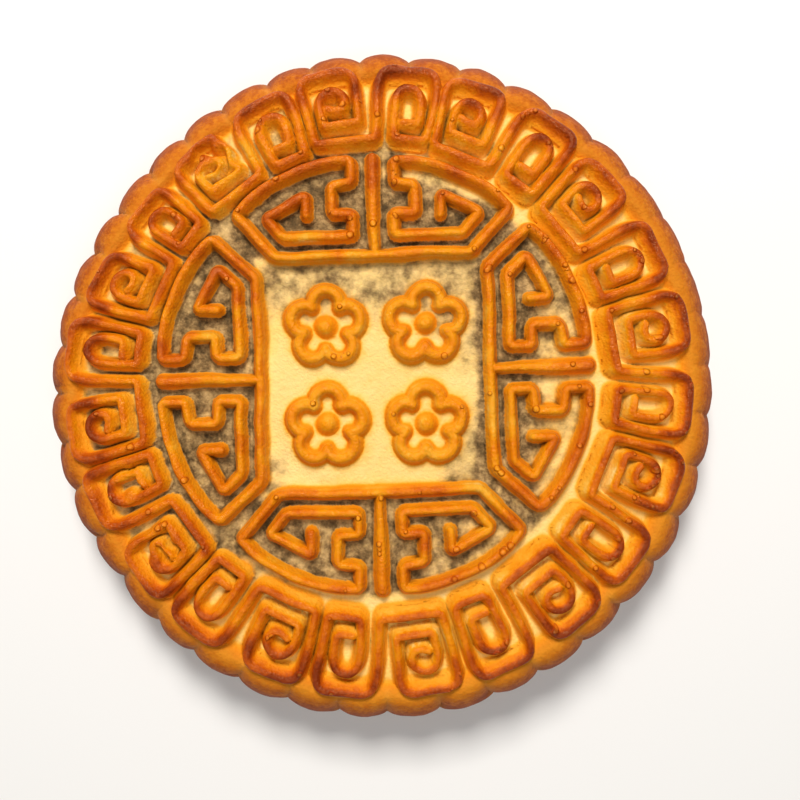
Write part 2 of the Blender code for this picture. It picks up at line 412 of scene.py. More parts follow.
def pressed_place(x, y):
    """Where on the mould's drawing each plan point lies: the dough crept a little everywhere."""
    torn = torn_share(x, y) * TORN_SHIFT
    radius = np.hypot(x, y) + 1e-6
    lean = FOOT_LEAN * crest_lean(radius)
    return creep(x, x, y, torn, 1) + lean * x / radius, creep(y, x, y, torn, 4) + lean * y / radius


def crest_lean(radius):
    """How far a crest leans towards the cake's rim."""
    return CREST_LEAN * smooth(62.0, 90.0, radius)


def ridge(distance, half_width):
    """Round-topped ridge with steep sides and a small fillet at its foot, from 0 to 1."""
    share = distance / half_width
    dome = np.sqrt(np.clip(1.0 - RIDGE_ROUNDNESS * share**2, 0.05, 1.0))
    return dome / (1.0 + (share / RIDGE_EDGE) ** RIDGE_STEEPNESS)


def stem_width(x, y):
    """Half width of the stems, narrower towards the middle of the cake."""
    wide, narrow = STEM_TAPER
    return STEM_RIDGE[0] * (narrow + (wide - narrow) * smooth(42.0, 66.0, panel_reach(x, y)))


def button_distance(x, y):
    """How far each plan point is from the nearest blossom's middle."""
    distance = np.full(x.shape, FAR)
    for cx, cy in blossom_centres():
        distance = np.minimum(distance, np.hypot(x - cx, y - cy))
    return distance


def skirt_share(x, y):
    """Where the ring's arcs run out in a soft skirt towards the middle, from 0 to 1."""
    share = ring_share(x, y)
    soft = bump(np.degrees(np.arctan2(y, x)), *SKIRT_SIDE)
    outer = smooth(0.72, 0.82, share) * (0.45 + 0.55 * soft)
    return np.clip(outer + (1.0 - smooth(-0.02, 0.06, share)) * soft, 0.0, 1.0)


def skirt_rise(x, y, u, v):
    """Rise of the skirt from 0 to 1, for plan points and their places on the mould's drawing."""
    inward, reach, _ = SKIRT
    radius = np.hypot(x, y) + 1e-6
    distance = nearest(RING_LINES, u + inward * x / radius, v + inward * y / radius)
    return np.exp(-(distance / reach) ** 2) * skirt_share(x, y)


def relief(x, y):
    """Each kind of ridge's rise from 0 to 1, the relief's height, and the distance to a ridge's side."""
    u, v = pressed_place(x, y)
    widen = 1.0 + 0.06 * noise(x, y, 9.0, 7) + 0.02 * noise(x, y, 3.5, 8)
    kinds = {
        "ring": (nearest(RING_LINES, u, v), *RING_RIDGE),
        "panel": (nearest(PANEL_LINES, u, v), *PANEL_RIDGE),
        "stem": (nearest(STEM_LINES, u, v), stem_width(u, v), STEM_RIDGE[1]),
        "petal": (nearest(PETAL_LINES, u, v), *BLOSSOM_RIDGE),
        "button": (button_distance(u, v), *BUTTON),
    }
    rises, height, away = {}, np.zeros(x.shape), np.full(x.shape, FAR)
    for name, (distance, half_width, size) in kinds.items():
        rises[name] = ridge(distance, half_width * widen)
        height = np.maximum(height, rises[name] * size)
        away = np.minimum(away, distance - half_width * widen)
    skirt = skirt_rise(x, y, u, v)
    height = np.cbrt(height**3 + (skirt * SKIRT[2]) ** 3)
    away = np.where(skirt > 0.3, np.minimum(away, 0.0), away)
    uneven = 1.0 + 0.08 * noise(x, y, 11.0, 9) + 0.03 * noise(x, y, 4.0, 10)
    return rises, height * uneven, away


# ---------------------------------------------------------------- the cake's body
def body_section():
    """The section below the top: the plan radius, radius and height of its points."""
    rim = TOP - SAG
    section = []
    for turn in np.linspace(0.0, 90.0, SHOULDER_POINTS):
        angle = math.radians(turn)
        radius = RIM_RADIUS + (WALL_RADIUS - RIM_RADIUS) * math.sin(angle)
        height = WALL_HEIGHT + (rim - WALL_HEIGHT) * math.cos(angle)
        section.append((radius, height))
    for turn in np.linspace(0.0, 90.0, FOOT_POINTS)[1:]:
        angle = math.radians(turn)
        radius = BASE_RADIUS + (WALL_RADIUS - BASE_RADIUS) * math.cos(angle)
        section.append((radius, WALL_HEIGHT * (1 - math.sin(angle))))
    plan = [RIM_RADIUS]
    for before, here in zip(section, section[1:]):
        plan.append(plan[-1] + math.dist(before, here))
    return np.array(plan), np.array([r for r, z in section]), np.array([z for r, z in section])


SECTION_PLAN, SECTION_RADIUS, SECTION_HEIGHT = body_section()
PLAN_EDGE = float(SECTION_PLAN[-1])


def smooth_side(degrees):
    """1 where the lobes are deep, less on the side where they run together."""
    return 1.0 - SMOOTH_SHARE * bump(degrees, *SMOOTH_SIDE)


def lobe_valley(degrees):
    """How deep the wall lies, from 0 on a lobe's crown to nearly 1 in the groove beside it."""
    drift = LOBE_DRIFT * np.cos(np.radians(degrees - LOBE_DRIFT_SIDE))
    turns = (degrees - FIRST_LOBE - drift) * LOBES / 360.0
    across = 2.0 * ((turns + 0.5) % 1.0) - 1.0
    return 1.0 - np.sqrt(1.0 - LOBE_ROUNDNESS * across**2)


def plain_body(plan):
    """Radius and height of the body, round and without relief, at each plan radius."""
    on_top = plan < RIM_RADIUS
    radius = np.where(on_top, plan, np.interp(plan, SECTION_PLAN, SECTION_RADIUS))
    sagged = TOP - SAG * np.clip((plan - SAG_START) / (RIM_RADIUS - SAG_START), 0.0, 1.0) ** 2
    return radius, np.where(on_top, sagged, np.interp(plan, SECTION_PLAN, SECTION_HEIGHT))


def add_lobes(x, y, plan, radius, height):
    """Radius and height with the lobes, the sides out of round and the wall's uneven skin."""
    degrees = np.degrees(np.arctan2(y, x))
    uneven = 1.0 + 0.12 * noise(degrees, plan * 0.1, 9.0, 11)
    wander = 0.8 * noise(degrees, plan, 7.0, 12)
    valley = lobe_valley(degrees + wander) * smooth_side(degrees) * uneven
    on_wall = smooth(RIM_RADIUS - 1.0, RIM_RADIUS + 12.0, plan)
    radius = radius - LOBE_DEPTH * valley * on_wall
    radius = radius + bumps(degrees, OUT_OF_ROUND) * smooth(RIM_RADIUS - 25.0, RIM_RADIUS + 6.0, plan)
    radius = radius + (0.35 * noise(x, y, 12.0, 13) + 0.12 * noise(x, y, 3.0, 14)) * on_wall
    shoulder = smooth(RIM_RADIUS - 2.0, RIM_RADIUS + 6.0, plan)
    shoulder = shoulder * (1.0 - smooth(RIM_RADIUS + 12.0, RIM_RADIUS + 24.0, plan))
    return radius, height - GROOVE_DROP * valley * shoulder


def add_relief(x, y, plan, radius, height):
    """Radius and height with the ridges, the blisters, the rim's rise and the floor's drop."""
    _, raised, away = relief(x, y)
    raised = raised * (1.0 - smooth(RIM_RADIUS + 4.0, RIM_RADIUS + 9.0, plan))
    offset = blister_offset(x, y)
    raised = raised + BLISTER_HEIGHT * (1.0 - smooth(0.5, 1.15, np.hypot(offset[:, 0], offset[:, 1])))
    radius = radius + crest_lean(plan) * np.clip(raised / RELIEF, 0.0, 1.1)

    share = ring_share(x, y)
    rim = RIM_RISE * smooth(0.86, 1.08, share) * (1.0 - smooth(RIM_RADIUS + 2.0, RIM_RADIUS + 14.0, plan))
    field = 0.22 * noise(x, y, 17.0, 15) + 0.08 * noise(x, y, 5.0, 16)
    skin = 0.05 * noise(x, y, 1.6, 17)
    on_top = 1.0 - smooth(RIM_RADIUS + 6.0, RIM_RADIUS + 14.0, plan)
    height = height + np.maximum(raised, rim) + (field + skin) * on_top
    drop = FLOOR_DROP * smooth(0.2, 1.2, away) * smooth(36.0, 42.0, plan) * (1.0 - smooth(0.85, 1.0, share))
    return radius, height - drop


def surface(x, y):
    """The place in space of each plan point of the top and wall."""
    plan = np.hypot(x, y) + 1e-9
    radius, height = plain_body(plan)
    radius, height = add_lobes(x, y, plan, radius, height)
    radius, height = add_relief(x, y, plan, radius, height)
    return np.stack([radius * x / plan, radius * y / plan, height], axis=1)


def ring_sizes():
    """Plan radius and point count of each ring of points, from the middle to the wall's foot."""
    rings = []
    plan = SPACING
    while plan < PLAN_EDGE:
        count = COARSEST_RING
        while count < FINEST_RING and 2 * math.pi * plan / count > 1.35 * SPACING:
            count *= 2
        rings.append((plan, count))
        plan += SPACING if plan < RIM_RADIUS + 5.0 else WALL_SPACING
    rings.append((PLAN_EDGE, FINEST_RING))
    return rings


def strip(start, count, next_start, next_count):
    """Triangles between two rings of points, with as many, twice or half as many points."""
    if count == next_count:
        j = np.arange(count)
        k = (j + 1) % count
        a, b, c, d = start + j, next_start + j, next_start + k, start + k
        return np.concatenate([np.stack([a, b, c], axis=1), np.stack([a, c, d], axis=1)])
    if next_count == 2 * count:
        j = np.arange(count)
        k = (j + 1) % count
        a, d = start + j, start + k
        b, m, c = next_start + 2 * j, next_start + 2 * j + 1, next_start + (2 * j + 2) % next_count
        return np.concatenate([np.stack(t, axis=1) for t in ((a, b, m), (a, m, d), (d, m, c))])
    j = np.arange(next_count)
    k = (j + 1) % next_count
    a, m, d = start + 2 * j, start + 2 * j + 1, start + (2 * j + 2) % count
    b, c = next_start + j, next_start + k
    return np.concatenate([np.stack(t, axis=1) for t in ((a, b, m), (m, b, c), (m, c, d))])


def fan(centre, start, count, inward):
    """Triangles between one point and the ring of points round it."""
    j = np.arange(count)
    k = (j + 1) % count
    middle = np.full(count, centre)
    order = (start + j, middle, start + k) if inward else (middle, start + j, start + k)
    return np.stack(order, axis=1)


def ring_angles(count):
    return 2 * math.pi * np.arange(count) / count


def fine_mesh():
    """The whole cake as points, plan places and triangles, before thinning."""
    rings = ring_sizes()
    plan_x = [np.zeros(1)] + [plan * np.cos(ring_angles(count)) for plan, count in rings]
    plan_y = [np.zeros(1)] + [plan * np.sin(ring_angles(count)) for plan, count in rings]
    x, y = np.concatenate(plan_x), np.concatenate(plan_y)
    points = surface(x, y)
    starts = np.cumsum([1] + [count for plan, count in rings])
    faces = [fan(0, 1, rings[0][1], inward=False)]
    for (plan, count), start, (next_plan, next_count), next_start in zip(
        rings, starts, rings[1:], starts[1:]
    ):
        faces.append(strip(start, count, next_start, next_count))

    foot_start, foot_count = starts[len(rings) - 1], rings[-1][1]
    foot = points[foot_start:foot_start + foot_count]
    foot[:, 2] = 0.0
    base_points, start, count = [], foot_start, foot_count
    next_start = len(points)
    for step in BASE_STEPS:
        next_count = max(count // 2, COARSEST_RING)
        around = foot[:: foot_count // next_count]
        shrink = (BASE_RADIUS - step) / BASE_RADIUS
        base_points.append(around * np.array([shrink, shrink, 1.0]))
        faces.append(strip(start, count, next_start, next_count))
        start, count = next_start, next_count
        next_start += next_count
    base_points.append(np.zeros((1, 3)))
    faces.append(fan(next_start, start, count, inward=True))
    base = np.concatenate(base_points)
    plans = np.stack([x, y, np.zeros(len(x))], axis=1)
    base_plans = np.stack([base[:, 0], base[:, 1], np.ones(len(base))], axis=1)
    return np.concatenate([points, base]), np.concatenate([plans, base_plans]), np.concatenate(faces)


def mesh_object(name, points, faces):
    mesh = bpy.data.meshes.new(name)
    mesh.vertices.add(len(points))
    mesh.vertices.foreach_set("co", (points * MM).astype(np.float32).ravel())
    mesh.loops.add(faces.size)
    mesh.loops.foreach_set("vertex_index", faces.astype(np.int32).ravel())
    mesh.polygons.add(len(faces))
    mesh.polygons.foreach_set("loop_start", np.arange(0, faces.size, 3, dtype=np.int32))
    mesh.update(calc_edges=True)
    obj = bpy.data.objects.new(name, mesh)
    bpy.context.scene.collection.objects.link(obj)
    return obj


def thin_out(obj, plans):
    """The cake with fewer triangles where it is plain; each point keeps its plan place."""
    layer = obj.data.attributes.new("plan", "FLOAT_VECTOR", "POINT")
    layer.data.foreach_set("vector", plans.astype(np.float32).ravel())
    top = obj.vertex_groups.new(name="top")
    free = np.flatnonzero((plans[:, 2] == 0) & (np.hypot(plans[:, 0], plans[:, 1]) < PLAN_EDGE - 0.01))
    top.add(free.tolist(), 1.0, "REPLACE")
    thin = obj.modifiers.new("thin", "DECIMATE")
    thin.ratio = min(1.0, TRIANGLES / len(obj.data.polygons))
    thin.vertex_group = "top"
    graph = bpy.context.evaluated_depsgraph_get()
    mesh = bpy.data.meshes.new_from_object(obj.evaluated_get(graph))
    bpy.data.objects.remove(obj, do_unlink=True)
    kept = bpy.data.objects.new("cake", mesh)
    bpy.context.scene.collection.objects.link(kept)
    return kept


# ---------------------------------------------------------------- looks worked out on the plan
# Sides of the cake: the side's middle and width, and the size where several are added up. The ring's
# stripes are yellowest on the first, inner crests are yellower on the second and outer arcs paler on
# the third. Filling shows outside the panels, in the ring and in the panels. On the last the lobes are
# darker: painted shade on the top side, and browner on the left.
WARM_SIDE = (320.0, 80.0)
YELLOW_SIDE = (20.0, 70.0)
PALE_SIDE = (180.0, 48.0)
GAP_SIDES = [(195.0, 62.0, 1.0), (105.0, 42.0, 0.85)]
RING_GAP_SIDES = [(192.0, 55.0, 0.8), (105.0, 40.0, 0.45)]
PANEL_SIDES = [(100.0, 50.0, 0.12), (340.0, 55.0, -0.16)]
PANEL_EDGE_SIDE = (0.0, 45.0)
CREAM_SIDE = (350.0, 50.0)
# Painted shade darkens the lobes on the top side; on the left side they are browner.
SHADED_AND_BROWN_LOBE_SIDES = [(95.0, 55.0, 0.09), (180.0, 50.0, 0.06)]

# How the looks feel the relief: step and steepest slope for the flanks' painted light and shade, and
# reach and height of hollows for the painted shade in narrow gaps
SLOPE_STEP = 0.4
STEEPEST = 2.0
HOLLOW_REACH = 1.5
HOLLOW_HEIGHT = 2.5
ON_RIDGE = 0.05


def ring_share(x, y):
    """How far out in the scroll ring each plan point lies, 0 at the inner crest, 1 at the outer."""
    dx, dy = x - RING_CENTRE[0], y - RING_CENTRE[1]
    degrees = np.degrees(np.arctan2(dy, dx))
    inner = inner_crest(degrees)
    return (np.hypot(dx, dy) - inner) / (outer_crest(degrees) - inner)


def panel_reach(x, y):
    """How far out each plan point lies across the panels' square."""
    angle = math.radians(PANEL_TURN)
    dx, dy = x - PANEL_CENTRE[0], y - PANEL_CENTRE[1]
    across = dx * math.cos(angle) + dy * math.sin(angle)
    outward = -dx * math.sin(angle) + dy * math.cos(angle)
    return np.maximum(np.abs(across), np.abs(outward))


def facing(x, y, height, radius):
    """How steeply the relief faces the middle of the cake, and how steeply its rim, from 0 to 1."""
    height_x, height_y = relief(x + SLOPE_STEP, y)[1], relief(x, y + SLOPE_STEP)[1]
    slope = ((height_x - height) * x + (height_y - height) * y) / (SLOPE_STEP * radius)
    return np.clip(slope / STEEPEST, 0.0, 1.0), np.clip(-slope / STEEPEST, 0.0, 1.0)


class Spots:
    """Plan points, with the measures that several looks share."""

    def __init__(self, x, y):
        self.x, self.y = x, y
        self.radius = np.hypot(x, y) + 1e-6
        self.degrees = np.degrees(np.arctan2(y, x))
        self.share = ring_share(x, y)
        self.reach = panel_reach(x, y)
        self.rises, self.height, self.away = relief(x, y)
        self.rise = np.clip(self.height / RELIEF, 0.0, 1.0)
        self.inward, self.outward = facing(x, y, self.height, self.radius)
        self.torn = torn_share(x, y)
        self.in_ring = smooth(-0.3, -0.1, self.share)
        self.warm_side = bump(self.degrees, *WARM_SIDE)
        self.stripe = self.in_ring * (0.3 + 0.7 * self.warm_side)
        self.patch = 0.5 * noise(x, y, 12.0, 21) + 0.5 * noise(x, y, 5.0, 22)


def ring_crest(share):
    """Browning of the scroll ring's crests: brown inside, golden between, darkest outside."""
    inner = 0.10 * (1.0 - smooth(0.04, 0.16, share))
    outer = 0.30 * smooth(0.45, 0.70, share)
    return 0.52 + inner + outer


def crest_toast(at):
    """Browning of the crests: yellower towards the middle of the cake and its yellow side."""
    yellow = bump(at.degrees, *YELLOW_SIDE)
    crest = 0.48 + 0.10 * smooth(45.0, 75.0, at.radius) + 0.28 * at.patch
    crest = crest + yellow * (0.20 * smooth(48.0, 74.0, at.radius) - 0.14)
    blossom = 0.44 - 0.06 * yellow + 0.14 * at.patch
    crest = np.where(np.maximum(at.rises["petal"], at.rises["button"]) > ON_RIDGE, blossom, crest)
    stem = 0.42 + 0.26 * smooth(50.0, 72.0, at.radius) + 0.1 * at.patch
    crest = np.where(at.rises["stem"] > ON_RIDGE, stem, crest)
    pale = 0.16 * bump(at.degrees, *PALE_SIDE) * smooth(0.87, 0.95, at.share)
    ring = ring_crest(at.share) - pale + 0.26 * at.patch
    crest = np.where(at.rises["ring"] > ON_RIDGE, ring, crest)
    return crest - 0.12 * at.torn


def floor_toast(at):
    """Browning of the pale floor: yellower near the ridges and browner towards the rim."""
    glow = np.exp(-np.maximum(at.away, 0.0) / 1.4) * (0.03 + 0.07 * at.warm_side)
    floor = 0.05 + 0.02 * smooth(0.0, 0.5, at.share) + glow
    floor = floor + 0.34 * smooth(0.78, 0.95, at.share)
    return floor + 0.03 * noise(at.x, at.y, 8.0, 23)


def browning_and_shading(at):
    """Browning from the floor over the ridges' feet and flanks to their crests.

    Feet and flanks are painted lighter and yellower where they face the middle and darker where they
    face the rim: painted light and painted shade on top of their browning. The feet are kept about as
    brown as the flanks, partly as painted shade where they meet the floor.
    """
    crest, floor = crest_toast(at), floor_toast(at)
    outer = smooth(0.45, 0.75, at.share)
    # Painted light and shade: flanks lighter where they face the middle, darker where they face the rim.
    flank = crest - 0.06 - 0.17 * at.stripe - (0.05 + 0.08 * at.stripe) * at.inward
    flank = flank + (0.08 + 0.08 * outer) * at.outward
    # Painted shade at the feet where they meet the floor, darker where they face the rim and lighter where
    # they face the middle.
    foot = 0.44 - 0.05 * at.in_ring - 0.08 * at.stripe - (0.06 + 0.05 * at.in_ring) * at.inward
    foot = foot + (0.12 + 0.12 * outer) * at.outward
    toast_and_shading = floor + (foot - floor) * smooth(0.0, 0.10, at.rise)
    toast_and_shading = toast_and_shading + (flank - foot) * smooth(0.08, 0.60, at.rise)
    return toast_and_shading + (crest + 0.02 + 0.12 * at.stripe - flank) * smooth(0.66, 1.0, at.rise)


def gap_filling(at):
    """Filling showing between the panels and the ring, and a little way into the ring."""
    gap = 0.92 * smooth(60.0, 72.0, at.radius) * np.clip(bumps(at.degrees, GAP_SIDES), 0.0, 1.0)
    return gap * (1.0 - (1.0 - bumps(at.degrees, RING_GAP_SIDES)) * smooth(0.0, 0.25, at.share))


def panel_filling(at):
    """Filling showing inside the panels, less in the outer part of the cream-coloured one."""
    inside = smooth(38.0, 43.0, at.reach) * (1.0 - smooth(70.0, 76.0, at.radius))
    inside = inside * (0.86 + bumps(at.degrees, PANEL_SIDES))
    inside = inside + 0.3 * bump(at.degrees, *PANEL_EDGE_SIDE) * smooth(38.0, 42.0, at.reach)
    return inside * (1.0 - 0.52 * bump(at.degrees, *CREAM_SIDE) * smooth(46.0, 62.0, at.reach))


def middle_filling(at):
    """Filling showing in the middle square: along its upper edge, its corners and its right."""
    x, y = at.x, at.y
    upper = smooth(6.0, 34.0, y) * smooth(-30.0, 10.0, -x * 0.4 + y * 0.6)
    right = smooth(8.0, 30.0, x) * (0.4 + 0.6 * smooth(-10.0, 30.0, np.abs(y)))
    corner = smooth(22.0, 40.0, -x) * smooth(10.0, 30.0, -y)
    edge = 0.9 * smooth(31.0, 37.0, x)
    shown = 0.62 * np.clip(upper + right + corner, 0.0, 1.0) + edge
    return (1.0 - smooth(38.0, 44.0, at.reach)) * shown


def filling_share(at):
    """Where the dark filling shows through the thin pale floor."""
    filling = np.maximum(np.maximum(gap_filling(at), panel_filling(at)), middle_filling(at))
    filling = np.clip(filling, 0.0, 1.0)
    return filling * (1.0 - smooth(0.06, 0.20, at.rise)) * (1.0 - smooth(0.75, 1.0, at.share))


def hollowness(at):
    """0 on open ground to 1 at the bottom of a narrow gap: how much of the relief round it is higher."""
    total = np.zeros(at.x.shape)
    for turn in np.arange(0.0, 2 * math.pi, math.pi / 4):
        around = relief(at.x + HOLLOW_REACH * math.cos(turn), at.y + HOLLOW_REACH * math.sin(turn))[1]
        total += np.clip((around - at.height) / HOLLOW_HEIGHT, 0.0, 1.0)
    return smooth(0.34, 0.74, total / 8.0)


def painted_gap_shade(at):
    """Painted shade: how dark the narrow gaps between the ridges are painted."""
    gap_shade = hollowness(at) * (1.0 - 0.75 * smooth(0.45, 0.75, at.share))
    gap_shade = gap_shade * (1.0 - 0.6 * at.in_ring * at.warm_side)
    return gap_shade * smooth(30.0, 42.0, at.radius) * (1.0 - 0.6 * at.torn)


def looks(x, y):
    """Named looks, most from 0 to 1, at the plan points, for the material to read."""
    at = Spots(x, y)
    down = np.clip((np.hypot(x, y) - RIM_RADIUS) / (PLAN_EDGE - RIM_RADIUS), 0.0, 1.0)
    return {
        # Browning, with painted light and shade on the ridges' flanks and feet
        "toast_and_shading": browning_and_shading(at),
        "rise": at.rise,
        "filling": filling_share(at),
        "wall": smooth(0.86, 1.0, at.share) * (1.0 - smooth(0.15, 0.4, at.rise)),
        # Painted shade in the narrow gaps between the ridges
        "gap_shade": painted_gap_shade(at),
        # The lobes' place down the wall, darker by painted shade on the top side and browner on the left
        "down": down + bumps(at.degrees, SHADED_AND_BROWN_LOBE_SIDES),
        "groove": lobe_valley(at.degrees) * smooth_side(at.degrees),
    }


def plan_places(obj):
    """The plan places of the object's points: across, up, and 1 on the base."""
    plans = np.empty(len(obj.data.vertices) * 3, dtype=np.float32)
    obj.data.attributes["plan"].data.foreach_get("vector", plans)
    return plans.reshape(-1, 3).astype(float).T


def add_looks(obj, x, y):
    """Each look as a named attribute of the object's points."""
    mesh = obj.data
    for name, value in looks(x, y).items():
        layer = mesh.attributes.new(name, "FLOAT", "POINT")
        layer.data.foreach_set("value", value.astype(np.float32))
    layer = mesh.attributes.new("blister", "FLOAT_VECTOR", "POINT")
    layer.data.foreach_set("vector", blister_offset(x, y).astype(np.float32).ravel())


def smooth_normals(x, y):
    """Unit normals of the cake's top and wall at the plan points."""
    here = surface(x, y)
    normal = np.cross(surface(x + NORMAL_STEP, y) - here, surface(x, y + NORMAL_STEP) - here)
    return normal / (np.linalg.norm(normal, axis=1, keepdims=True) + 1e-12)


def corners_and_base(obj, base):
    """The point at each face's corners, and which faces are the base's."""
    corner = np.empty(len(obj.data.loops), dtype=np.int32)
    obj.data.loops.foreach_get("vertex_index", corner)
    return corner, base[corner.reshape(-1, 3)].max(axis=1) > 0.5


def add_normals(obj, x, y, base):
    """Shading from the true surface, not from the thinned triangles; the base is flat."""
    mesh = obj.data
    corner, under = corners_and_base(obj, base)
    mesh.polygons.foreach_set("use_smooth", ~under)
    mesh.update()
    normals = smooth_normals(x, y)[corner]
    normals[np.repeat(under, 3)] = (0.0, 0.0, -1.0)
    mesh.normals_split_custom_set(normals.tolist())


def add_bake_map(obj, x, y, base):
    """A flat map: top and unrolled wall in a disc, and the base's quarters in the corners."""
    mesh = obj.data
    corner, under = corners_and_base(obj, base)
    points = np.empty(len(mesh.vertices) * 3, dtype=np.float32)
    mesh.vertices.foreach_get("co", points)
    points = points.reshape(-1, 3) / MM
    middle = np.repeat(points[corner.reshape(-1, 3)].mean(axis=1), 3, axis=0)
    flat = []
    for axis, place in enumerate((x, y)):
        on_top = 0.5 + place[corner] * (TOP_MAP / PLAN_EDGE)
        inward = MAP_MARGIN + np.abs(points[corner, axis]) * (BASE_MAP / BASE_RADIUS)
        on_base = np.where(middle[:, axis] > 0, 1.0 - inward, inward)
        flat.append(np.where(np.repeat(under, 3), on_base, on_top))
    layer = mesh.uv_layers.new(name="OFBake")
    layer.data.foreach_set("uv", np.stack(flat, axis=1).astype(np.float32).ravel())


def make_cake():
    points, plans, faces = fine_mesh()
    made = thin_out(mesh_object("fine_cake", points, faces), plans)
    x, y, base = plan_places(made)
    add_looks(made, x, y)
    add_bake_map(made, x, y, base)
    add_normals(made, x, y, base)
    made.data.attributes.remove(made.data.attributes["plan"])
    made.vertex_groups.clear()
    return made


# ---------------------------------------------------------------- material
def linear(red, green, blue):
    """A screen colour, 0 to 255, as the light it reflects."""
    result = []
    for value in (red, green, blue):
        share = value / 255.0
        result.append(share / 12.92 if share <= 0.04045 else ((share + 0.055) / 1.055) ** 2.4)
    return (*result, 1.0)


class Nodes:
    """Short ways to add and join a material's nodes."""

    def __init__(self, material):
        material.use_nodes = True
        self.tree = material.node_tree
        self.shader = self.tree.nodes["Principled BSDF"]
        self.place = self.tree.nodes.new("ShaderNodeTexCoord").outputs["Object"]

    def join(self, value, socket):
        if isinstance(value, bpy.types.NodeSocket):
            self.tree.links.new(value, socket)
        else:
            socket.default_value = value

    def attribute(self, name, output="Fac"):
        node = self.tree.nodes.new("ShaderNodeAttribute")
        node.attribute_name = name
        return node.outputs[output]

    def length(self, vector):
        node = self.tree.nodes.new("ShaderNodeVectorMath")
        node.operation = "LENGTH"
        self.join(vector, node.inputs[0])
        return node.outputs["Value"]

    def math(self, operation, a, b=0.0, c=0.0, clamp=False):
        node = self.tree.nodes.new("ShaderNodeMath")
        node.operation = operation
        node.use_clamp = clamp
        for socket, value in zip(node.inputs, (a, b, c)):
            self.join(value, socket)
        return node.outputs[0]

    def add(self, total, *others):
        for other in others:
            total = self.math("ADD", total, other)
        return total

    def swing(self, noise, size):
        """The noise, from 0 to 1, as a value that swings either side of 0."""
        return self.math("MULTIPLY_ADD", noise, size, -size / 2)

    def steps(self, value, low, high, to_low=0.0, to_high=1.0):
        """A smooth step of the value between low and high."""
        node = self.tree.nodes.new("ShaderNodeMapRange")
        node.interpolation_type = "SMOOTHSTEP"
        for name, setting in zip(("From Min", "From Max", "To Min", "To Max"), (low, high, to_low, to_high)):
            node.inputs[name].default_value = setting
        self.join(value, node.inputs["Value"])
        return node.outputs["Result"]

    def noise(self, size_mm, detail, rough, shift):
        """Noise from 0 to 1; the shift tells two noises apart."""
        mapping = self.tree.nodes.new("ShaderNodeMapping")
        mapping.inputs["Location"].default_value = (shift, shift * 0.7, shift * 0.3)
        self.join(self.place, mapping.inputs["Vector"])
        node = self.tree.nodes.new("ShaderNodeTexNoise")
        node.inputs["Scale"].default_value = 1.0 / (size_mm * MM)
        node.inputs["Detail"].default_value = detail
        node.inputs["Roughness"].default_value = rough
        self.join(mapping.outputs["Vector"], node.inputs["Vector"])
        return node.outputs["Fac"]

    def ramp(self, value, stops):
        node = self.tree.nodes.new("ShaderNodeValToRGB")
        elements = node.color_ramp.elements
        while len(elements) < len(stops):
            elements.new(0.5)
        for element, (position, colour) in zip(elements, stops):
            element.position = position
            element.color = linear(*colour)
        self.join(value, node.inputs["Fac"])
        return node.outputs["Color"]

    def mix(self, share, first, second):
        node = self.tree.nodes.new("ShaderNodeMix")
        node.data_type = "RGBA"
        self.join(share, node.inputs[0])
        self.join(first, node.inputs[6])
        self.join(second, node.inputs[7])
        return node.outputs[2]

    def bump(self, height, distance_mm, strength=1.0, normal=None):
        node = self.tree.nodes.new("ShaderNodeBump")
        node.inputs["Distance"].default_value = distance_mm * MM
        node.inputs["Strength"].default_value = strength
        self.join(height, node.inputs["Height"])
        if normal is not None:
            self.join(normal, node.inputs["Normal"])
        return node.outputs["Normal"]


# Colours on a screen, 0 to 255: the crust by its browning and its painted light and shade, the filling
# from its dark parts to its pale ones, the lobes from the rim down, and four single ones: the painted
# shade of narrow gaps, the grooves, and the blisters' rim and cap
CRUST = [
    (0.00, (250, 220, 146)),
    (0.12, (243, 198, 106)),
    (0.24, (235, 168, 48)),
    (0.38, (234, 146, 12)),
    (0.54, (225, 124, 6)),
    (0.70, (204, 96, 6)),
    (0.84, (176, 72, 8)),
    (1.00, (130, 44, 6)),
]
FILLING = [
    (0.00, (40, 32, 20)),
    (0.18, (74, 58, 34)),
    (0.34, (112, 88, 54)),
    (0.52, (158, 128, 82)),
    (0.70, (196, 162, 108)),
    (0.88, (230, 198, 134)),
    (1.00, (246, 216, 150)),
]
LOBE = [
    (0.00, (214, 132, 26)),
    (0.12, (202, 110, 14)),
    (0.26, (172, 78, 8)),
    (0.42, (142, 56, 8)),
    (0.62, (156, 72, 14)),
    (1.00, (188, 112, 40)),
]

# Painted shade of the narrow gaps between the ridges
GAP_SHADE_COLOUR = (74, 36, 8)
GROOVE = (226, 156, 56)
BLISTER_RIM = (186, 62, 12)
BLISTER_CAP = (250, 176, 70)

# The crests' glaze shines in the crust's own warm colour; floor and wall are dry
GLAZE_TINT = (1.0, 0.66, 0.36, 1.0)
GLAZE_LEVEL = 0.40
GLAZE_ROUGHNESS = 0.20
DRY_ROUGHNESS = 0.60


def crust_colour(nodes, grain, cloud):
    """The crust by its browning and painted light and shade, broken up by its own grain and by softer clouds.
    """
    uneven = nodes.add(nodes.swing(grain, 0.30), nodes.swing(cloud, 0.36))
    uneven = nodes.math("MULTIPLY", uneven, nodes.steps(nodes.attribute("rise"), 0.1, 0.8, 0.25, 1.0))
    return nodes.ramp(nodes.add(nodes.attribute("toast_and_shading"), uneven), CRUST)


